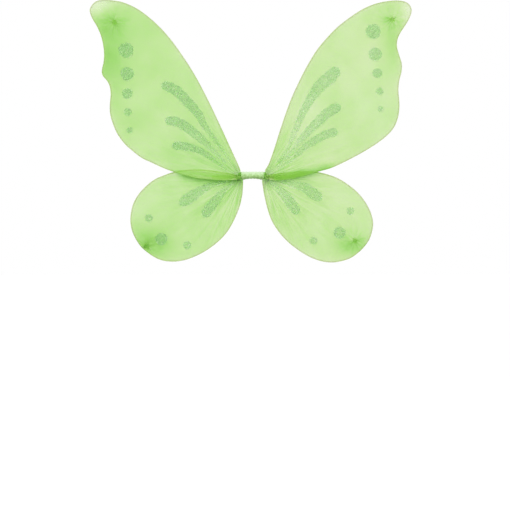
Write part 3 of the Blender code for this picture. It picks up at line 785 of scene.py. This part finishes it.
def make_glitter(wing):
    """Raised dots and strokes of glitter glue on the front layer, and the loose flakes in them."""
    rng = np.random.default_rng(wing.seed + 100)
    verts, faces, fade, seeds = [], [], [], []

    def lay(grid_x, grid_z, lift, alpha, closed):
        """A thin film over a grid of points, its border sunk to the cloth."""
        n, m = grid_x.shape
        y = wing.front(grid_x, grid_z) - 0.14 - lift
        at = sum(len(v) for v in verts)
        verts.append(np.stack([grid_x, y, grid_z], axis=2).reshape(-1, 3))
        fade.append(alpha.ravel())
        for i in range(n - 1):
            for j in range(m if closed else m - 1):
                k = (j + 1) % m
                faces.append((at + i * m + j, at + i * m + k, at + (i + 1) * m + k, at + (i + 1) * m + j))

    strength = {"upper_left": 0.62, "upper_right": 0.42, "lower_left": 0.50, "lower_right": 0.38}[wing.name]
    for cx, cz, r in DOTS[wing.name]:
        ang = np.linspace(0, 2 * math.pi, 57)[:-1]
        wobble = 1 + 0.03 * np.sin(3 * ang + cx) + 0.02 * np.sin(7 * ang + cz)
        share = np.array([0.04, 0.2, 0.4, 0.6, 0.76, 0.85, 0.92, 0.97, 1.0])
        gx = cx + r * share[:, None] * (np.cos(ang) * wobble)[None, :]
        gz = cz + r * share[:, None] * (np.sin(ang) * wobble)[None, :]
        lift = 0.22 * np.sqrt(1 - np.clip(share, 0, 0.999) ** 6)[:, None] * np.ones_like(gx)
        body = 1.0 if wing.level == "upper" else 0.72 + 0.4 * step(0.3, 0.65, share)
        edge = (body * (1 - step(0.86, 1.0, share)))[:, None] * np.ones_like(gx)
        lay(gx, gz, lift, edge * strength * (0.72 + 0.33 * float(step(4.5, 9.0, r))), True)
        count = int(math.pi * r * r * 0.55)
        rr, aa = r * (0.99 * np.sqrt(rng.random(count))), rng.random(count) * 2 * math.pi
        seeds.append(np.stack([cx + rr * np.cos(aa), cz + rr * np.sin(aa)], axis=1))
    for stroke in STROKES[wing.name]:
        line = smooth_path(stroke, 90)
        centre, half = line[:, :2], line[:, 2]
        along = np.gradient(centre, axis=0)
        along /= np.linalg.norm(along, axis=1)[:, None]
        across = np.stack([-along[:, 1], along[:, 0]], axis=1)
        run = np.concatenate([[0], np.cumsum(np.linalg.norm(np.diff(centre, axis=0), axis=1))])
        blunt = np.sqrt(np.clip(1 - (1 - np.clip(run / half[0], 0, 1)) ** 2, 0.0, 1))
        ragged = 1 + 0.05 * np.sin(run * 0.55 + stroke[0][0]) + 0.03 * np.sin(run * 1.7)
        width = half * blunt * ragged
        share = np.array([-1.0, -0.95, -0.82, -0.6, -0.3, 0.0, 0.3, 0.6, 0.82, 0.95, 1.0])
        gx = centre[:, :1] + across[:, :1] * width[:, None] * share[None, :]
        gz = centre[:, 1:] + across[:, 1:] * width[:, None] * share[None, :]
        lift = 0.22 * np.sqrt(1 - np.clip(np.abs(share), 0, 0.999) ** 6)[None, :] * step(0, 3, run)[:, None] * np.ones_like(gx)
        tail = 1 - 0.9 * step(0.30 * run[-1], 0.95 * run[-1], run)
        edge = (0.88 + 0.2 * step(0.4, 0.8, np.abs(share))) * (1 - step(0.82, 1.0, np.abs(share)))
        lay(gx, gz, lift, strength * 0.86 * edge[None, :] * tail[:, None] * step(0.0, 2.0, run)[:, None], False)
        count = int((width * 2).mean() * run[-1] * 0.5)
        at = rng.random(count) ** 1.6 * run[-1]
        w = np.interp(at, run, width) * 0.97
        off = rng.uniform(-1, 1, count) * w
        px = np.interp(at, run, centre[:, 0]) + np.interp(at, run, across[:, 0]) * off
        pz = np.interp(at, run, centre[:, 1]) + np.interp(at, run, across[:, 1]) * off
        seeds.append(np.stack([px, pz], axis=1))
    glue = new_object(f"{wing.name}_glitter_glue", np.concatenate(verts), faces, GLUE)
    point_value(glue, "fade", np.concatenate(fade))
    thick = glue.modifiers.new("Film", "SOLIDIFY")
    thick.thickness = 0.08 * MM
    thick.offset = 1.0
    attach(glue, f"{wing.name}_wing")

    spots = np.concatenate(seeds)
    n = len(spots)
    y = wing.front(spots[:, 0], spots[:, 1]) - 0.46
    size = rng.uniform(0.22, 0.50, n)
    spin, tilt, lean = rng.random(n) * 6.28, rng.normal(0, 0.28, n), rng.random(n) * 6.28
    tone = rng.random(n)
    fv, ff, ft = [], [], []
    for i in range(n):
        a = spin[i] + np.arange(6) * math.pi / 3
        u, v = size[i] * np.cos(a), size[i] * np.sin(a)
        dy = tilt[i] * (u * math.cos(lean[i]) + v * math.sin(lean[i]))
        fv.append(np.stack([spots[i, 0] + u, y[i] + dy, spots[i, 1] + v], axis=1))
        ff.append(tuple(range(i * 6, i * 6 + 6)))
        ft += [tone[i]] * 6
    flakes = new_object(f"{wing.name}_glitter_flakes", np.concatenate(fv), ff, FLAKE, smooth=False)
    point_value(flakes, "tone", ft)
    foil = flakes.modifiers.new("Foil", "SOLIDIFY")
    foil.thickness = 0.03 * MM
    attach(flakes, f"{wing.name}_wing")


def make_tip_gather(wing):
    """The sleeve's closed end, drawn through its thread tie on the back, with a short frill."""
    kx, kz = wing.knot
    back = float(wing.dish(kx, kz)) + 0.35
    # (radius, height behind the cloth, ruffle)
    profile = [
        (4.2, 0.10, 0.05), (3.2, 0.35, 0.12), (2.5, 0.62, 0.17), (1.85, 0.9, 0.2), (1.5, 1.15, 0.2),
        (1.45, 1.55, 0.18), (1.7, 1.9, 0.2), (2.3, 2.5, 0.26), (3.0, 3.3, 0.34), (3.5, 4.2, 0.42),
        (3.8, 5.0, 0.5),
    ]  # fmt: skip
    line = smooth_path(profile, 46)
    phi = np.linspace(0, 2 * math.pi, 97)[:-1]
    wave = np.sin(9 * phi + 1.2 * np.sin(2 * phi + wing.seed)) + 0.5 * np.sin(14 * phi + wing.seed)
    r = line[:, :1] * (1 + line[:, 2:3] * 0.55 * wave[None, :])
    y = back + line[:, 1:2] + (line[:, 2:3] * 1.0 * np.sin(5 * phi + wing.seed)[None, :]) * (line[:, 1:2] > 2.2)
    x, z = kx + r * np.cos(phi)[None, :], kz + r * np.sin(phi)[None, :]
    dish = wing.dish(x, z) - wing.dish(kx, kz)
    n, m = r.shape
    verts = np.stack([x, y + dish, z], axis=2).reshape(-1, 3)
    faces = [(i * m + j, i * m + (j + 1) % m, (i + 1) * m + (j + 1) % m, (i + 1) * m + j) for i in range(n - 1) for j in range(m)]
    obj = new_object(f"{wing.name}_tip_gather", verts, faces, GATHERED)
    start = step(0.05, 0.85, line[:, 1:2])
    level = (0.30 + 0.35 * np.exp(-line[:, :1] / 3.2) + 0.12 * np.maximum(wave, 0)[None, :]) * start
    point_value(obj, "dens_with_painted_light", np.clip(level, 0.0, 3.0).ravel())
    cloth = obj.modifiers.new("Cloth", "SOLIDIFY")
    cloth.thickness = 0.08 * MM
    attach(obj, f"{wing.name}_wing")
    # three turns of thread with a crossed finish
    t = np.linspace(0, 1, 170)
    turns = 3.4
    a = 2 * math.pi * turns * t
    ring = 1.95 + 0.10 * np.sin(9.0 * t * math.pi)
    path = np.stack([kx + ring * np.cos(a), back + 0.75 + 1.05 * t + 0.06 * np.sin(a * 3), kz + ring * np.sin(a)], axis=1)
    tail = np.array([[kx + 2.6, back + 2.2, kz - 0.8], [kx + 3.6, back + 2.0, kz - 2.2], [kx + 4.0, back + 1.4, kz - 3.6]])
    path = np.vstack([path, smooth_path(np.vstack([path[-1:], tail]), 16)[1:]])
    thread = tube(f"{wing.name}_tie_thread", path, 0.33, 8, THREAD)
    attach(thread, f"{wing.name}_wing")
    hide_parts(f"{wing.name}_tip_tie")
    return obj, thread


# ---------------------------------------------------------------- the bar
def oval_ring(x, grow, count, taper=1.0, spiral=0.0):
    """Section points (y, z) of the bar at x, with the tape's overlapping spiral on it."""
    phi = 2 * math.pi * np.arange(count) / count
    turn = (x / 4.6 - phi / (2 * math.pi)) % 1.0
    lip = spiral * (0.42 * turn**1.4 - 0.12) + 0.05 * spiral * np.sin(phi * 5 + x * 1.3)
    y = BAR_Y + (5.05 * taper + grow + lip) * np.cos(phi)
    z = (5.75 * taper + grow + lip) * np.sin(phi)
    z = z + 1.5 * np.maximum(-np.sin(phi), 0) * max(1 - (x / 13.0) ** 2, 0)
    return np.minimum(y, -0.12 + 0.1 * lip), z


def make_bar():
    xs = np.linspace(-12.9, 12.9, 260)
    count = 96
    verts, faces = [], []
    for x in xs:
        y, z = oval_ring(x, 0.0, count, spiral=1.0)
        verts.append(np.stack([np.full(count, x), y, z], axis=1))
    for x in xs[::-1][[0, 60, 130, 200, 259]]:
        y, z = oval_ring(x, -1.0, count)
        verts.append(np.stack([np.full(count, x), np.minimum(y, -1.2), z], axis=1))
    n = len(verts)
    for i in range(n):
        a, b = i * count, ((i + 1) % n) * count
        for j in range(count):
            k = (j + 1) % count
            faces.append((a + j, a + k, b + k, b + j))
    bar = new_object("centre_tape", np.concatenate(verts), faces, TAPE)
    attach(bar, "centre_bar")
    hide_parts("centre_wrap")


def make_tape_end(side):
    """The tape carries on over the bend and narrows under the gathered cloth."""
    word = "left" if side < 0 else "right"
    xs = np.linspace(12.2, 20.6, 90)
    count = 96
    verts, faces = [], []
    for x in xs:
        taper = 1.0 - 0.34 * float(step(14.5, 20.6, x)) ** 1.3
        y, z = oval_ring(side * x, -0.25 if x < 12.7 else -0.02, count, taper=taper, spiral=1.0)
        verts.append(np.stack([np.full(count, side * x), y, z], axis=1))
    tip = len(verts) * count
    for share in (0.7, 0.4, 0.15):
        y, z = oval_ring(side * 20.6, 0.0, count, taper=0.66, spiral=0.0)
        verts.append(np.stack([np.full(count, side * (20.9 + 0.3 * (1 - share))), BAR_Y + (y - BAR_Y) * share, z * share], axis=1))
    n = len(verts)
    for i in range(n - 1):
        for j in range(count):
            k = (j + 1) % count
            faces.append((i * count + j, i * count + k, (i + 1) * count + k, (i + 1) * count + j))
    faces.append(tuple(range((n - 1) * count, n * count)))
    faces.append(tuple(range(count))[::-1])
    end = new_object(f"{word}_tape_end", np.concatenate(verts), faces, TAPE)
    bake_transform(end)
    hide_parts(f"{word}_root_binding")
    # thread wound round the gathered neck
    t = np.linspace(0, 1, 420)
    turns = 4.5
    a = 2 * math.pi * turns * t
    x = side * (17.4 + 2.2 * t + 0.08 * np.sin(a * 2.0))
    path = np.stack([x, BAR_Y + (4.6 - 1.0 * t) * np.cos(a), (5.2 - 1.2 * t) * np.sin(a)], axis=1)
    wound = tube(f"{word}_neck_thread", path, 0.27, 8, THREAD)
    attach(wound, f"{word}_root")


def make_strap(side):
    """A ribbed flat elastic, led out from its bar tack and back to it, and the tack's thread."""
    word = "left" if side < 0 else "right"
    path = smooth_path([(-side * x, y) for x, y in STRAP_PATH], 420)
    along = np.gradient(path, axis=0)
    along[0], along[-1] = (0.0, 1.0), (0.0, -1.0)
    along /= np.linalg.norm(along, axis=1)[:, None]
    across = np.stack([-along[:, 1], along[:, 0]], axis=1)
    # one side of the section, then the other: five cords wide with soft edges
    h = np.linspace(-1, 1, 41)
    cord = 0.42 + 0.13 * np.abs(np.cos(h * 5 * math.pi / 2)) ** 0.8
    cord *= np.sqrt(np.clip(1 - np.abs(h) ** 14, 0, 1))
    section = [(c, 2.6 * v) for c, v in zip(cord, h)] + [(-c, 2.6 * v) for c, v in zip(cord[::-1][1:-1], h[::-1][1:-1])]
    section = np.array(section)
    run = np.concatenate([[0], np.cumsum(np.linalg.norm(np.diff(path, axis=0), axis=1))])
    count = len(section)
    verts, faces = [], []
    for p, n, s in zip(path, across, run):
        pick = 1 + 0.05 * math.sin(s * 2 * math.pi / 1.3)
        off = n[None, :] * section[:, :1] * pick
        drop = 0.25 * math.sin(s * 0.05)
        verts.append(np.column_stack([p[0] + off[:, 0], p[1] + off[:, 1], section[:, 1] * (1 - 0.01 * math.sin(s)) + drop * 0]))
    n = len(verts)
    for i in range(n - 1):
        for j in range(count):
            k = (j + 1) % count
            faces.append((i * count + j, i * count + k, (i + 1) * count + k, (i + 1) * count + j))
    faces.append(tuple(range(count))[::-1])
    faces.append(tuple(range((n - 1) * count, n * count)))
    band = new_object(f"{word}_arm_elastic", np.concatenate(verts), faces, ELASTIC)
    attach(band, f"{word}_arm_loop")
    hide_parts(f"{word}_strap")
    # the tack: close turns of thread over the folded ends
    xs = np.linspace(-3.6, 3.6, 150)
    count = 40
    verts, faces = [], []
    for x in xs:
        phi = 2 * math.pi * np.arange(count) / count
        lobe = np.abs(np.sin((x / 0.62 + phi / (2 * math.pi)) * math.pi)) ** 0.6
        r = (2.28 + 0.30 * lobe) * math.sqrt(max(1 - (abs(x) / 3.62) ** 8, 0.02))
        verts.append(np.stack([np.full(count, side * 7.2 + x), 3.3 + r * np.cos(phi), r * np.sin(phi)], axis=1))
    n = len(verts)
    for i in range(n - 1):
        for j in range(count):
            k = (j + 1) % count
            faces.append((i * count + j, i * count + k, (i + 1) * count + k, (i + 1) * count + j))
    faces.append(tuple(range(count))[::-1])
    faces.append(tuple(range((n - 1) * count, n * count)))
    tack = new_object(f"{word}_bar_tack", np.concatenate(verts), faces, THREAD)
    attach(tack, f"{word}_arm_loop")
    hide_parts(f"{word}_strap_tack")


# ---------------------------------------------------------------- camera, light, floor
def make_stage():
    cam = bpy.data.cameras.new("camera")
    cam.lens, cam.sensor_width = 200.0, 36.0
    cam.clip_end = 200.0
    eye = bpy.data.objects.new("camera", cam)
    across = 0.510 * 1.45  # the frame's width at the wings
    eye.location = (0.0036, -across * 200.0 / 36.0 - 0.0085, -0.1151)
    eye.rotation_euler = (math.radians(90), 0, 0)
    bpy.context.scene.collection.objects.link(eye)
    bpy.context.scene.camera = eye

    world = bpy.data.worlds.new("studio")
    world.use_nodes = True
    back = world.node_tree.nodes["Background"]
    back.inputs[0].default_value = (1, 1, 1, 1)
    back.inputs[1].default_value = 1.0
    bpy.context.scene.world = world
    for name, place, size, power in (("key", (-1.5, -2.4, 2.0), 1.6, 16.0), ("fill", (2.2, -2.0, 0.6), 2.0, 5.0)):
        lamp = bpy.data.lights.new(name, "AREA")
        lamp.size, lamp.energy = size, power
        obj = bpy.data.objects.new(name, lamp)
        obj.location = place
        aim = Vector((0, 0, 0.05)) - Vector(place)
        obj.rotation_euler = aim.to_track_quat("-Z", "Y").to_euler()
        bpy.context.scene.collection.objects.link(obj)

    s = 40.0
    mesh = bpy.data.meshes.new("floor")
    mesh.from_pydata([(-s, -s, -0.42), (s, -s, -0.42), (s, s, -0.42), (-s, s, -0.42)], [], [(0, 1, 2, 3)])
    mesh.materials.append(floor_material())
    floor = bpy.data.objects.new("floor", mesh)
    bpy.context.scene.collection.objects.link(floor)
    bpy.context.scene.view_settings.view_transform = "Standard"
    bpy.context.scene.cycles.transparent_max_bounces = 48


make_stage()
for name in OUTLINE:
    wing = Wing(name)
    make_wire(wing)
    cloth, area = make_sleeve(wing)
    make_glitter(wing)
    gather, thread = make_tip_gather(wing)
make_bar()
for side in (-1, 1):
    make_tape_end(side)
    make_strap(side)
for name in ("upper_left_stem", "upper_right_stem", "lower_left_stem", "lower_right_stem"):
    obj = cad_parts[name]
    obj.data.materials.clear()
    obj.data.materials.append(STEEL)
